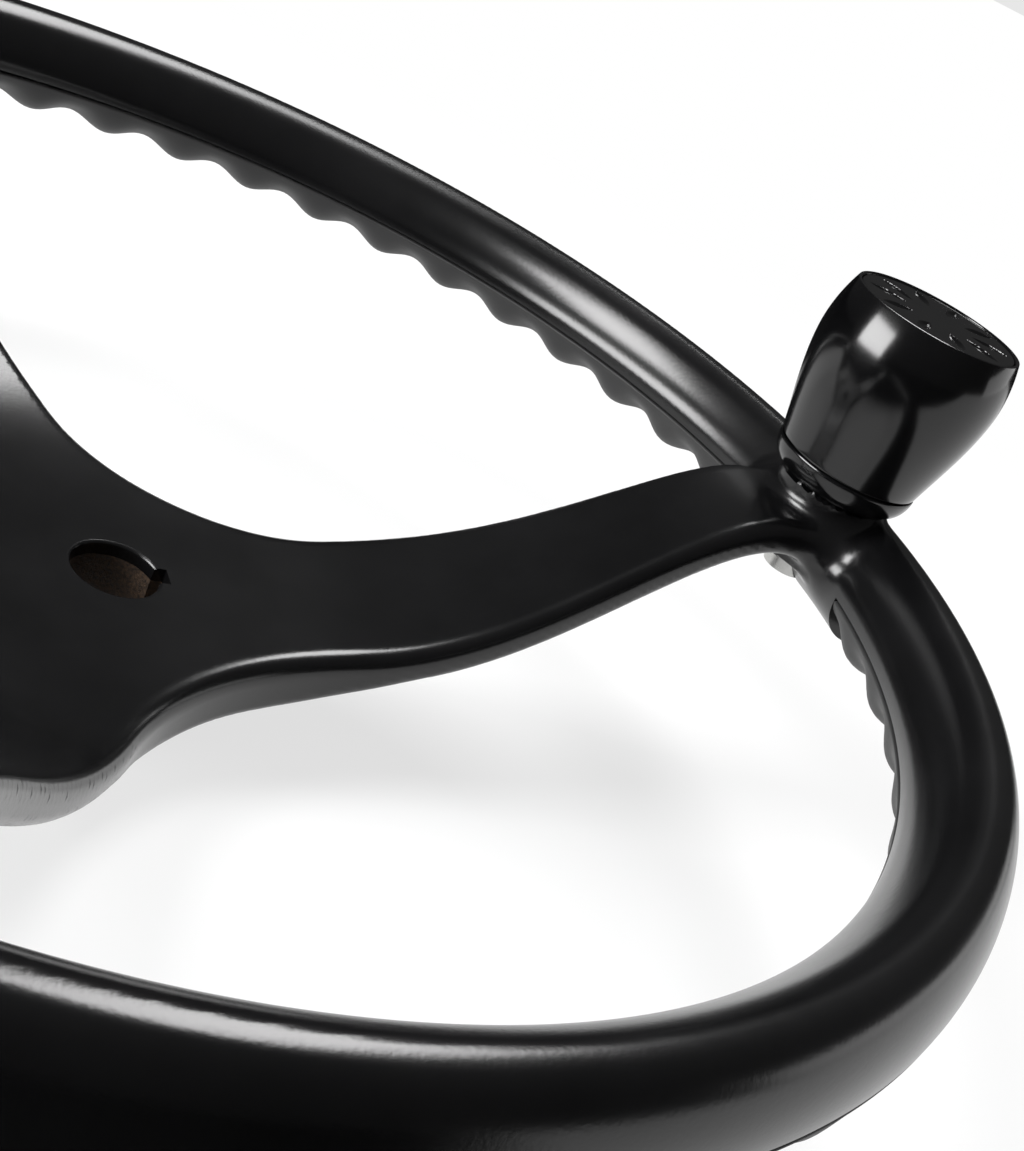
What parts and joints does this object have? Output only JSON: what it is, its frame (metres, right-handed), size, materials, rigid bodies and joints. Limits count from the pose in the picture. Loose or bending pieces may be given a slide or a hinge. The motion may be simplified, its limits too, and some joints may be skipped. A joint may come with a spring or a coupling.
{
  "type": "steering wheel",
  "caption": "Deep-dish three-spoke helm steering wheel with soft finger grips under the rim and a free-spinning control knob on the rim.",
  "frame": {"origin": "on the shaft axis at the rear face of the hub boss, the large end of the shaft taper", "axes": "+Z along the shaft towards the driver, +X towards the spoke that carries the knob"},
  "size_m": [0.3354, 0.33, 0.1217],
  "materials": {
    "powder_coat": "satin gloss black powder coat with fine orange peel",
    "bare_bush": "bare brown metal, grainy, unpolished",
    "soft_grip": "matte soft-touch black rubber",
    "nylon": "natural moulded nylon",
    "gloss_knob": "high gloss black",
    "knob_cap": "gloss black with pressed recesses",
    "steel": "turned stainless steel",
    "bronze": "oil-filled bronze bearing metal",
    "seal": "black nitrile rubber"
  },
  "bodies": {
    "wheel": {"wheel_casting": "powder_coat", "hub_bush": "bare_bush", "grip_1": "soft_grip", "grip_2": "soft_grip", "grip_3": "soft_grip", "grip_strip_1": "nylon", "grip_strip_2": "nylon", "grip_strip_3": "nylon", "knob_base": "gloss_knob", "base_dowel": "steel", "dust_seal": "seal", "knob_spindle": "steel", "knob_bolt": "steel", "bolt_lock_washer": "steel", "thrust_washer": "nylon", "wave_washer": "steel", "keeper_washer": "steel", "keeper_screw": "steel"},
    "knob": {"knob_body": "gloss_knob", "lower_bush": "bronze", "upper_bush": "bronze", "knob_cap": "knob_cap", "cap_o_ring": "seal"}
  },
  "joints": [
    {"name": "knob_spin", "type": "hinge", "parent": "wheel", "child": "knob", "pos_m": [0.149, 0, 0.1], "axis": [0, 0, 1], "continuous": true}
  ]
}
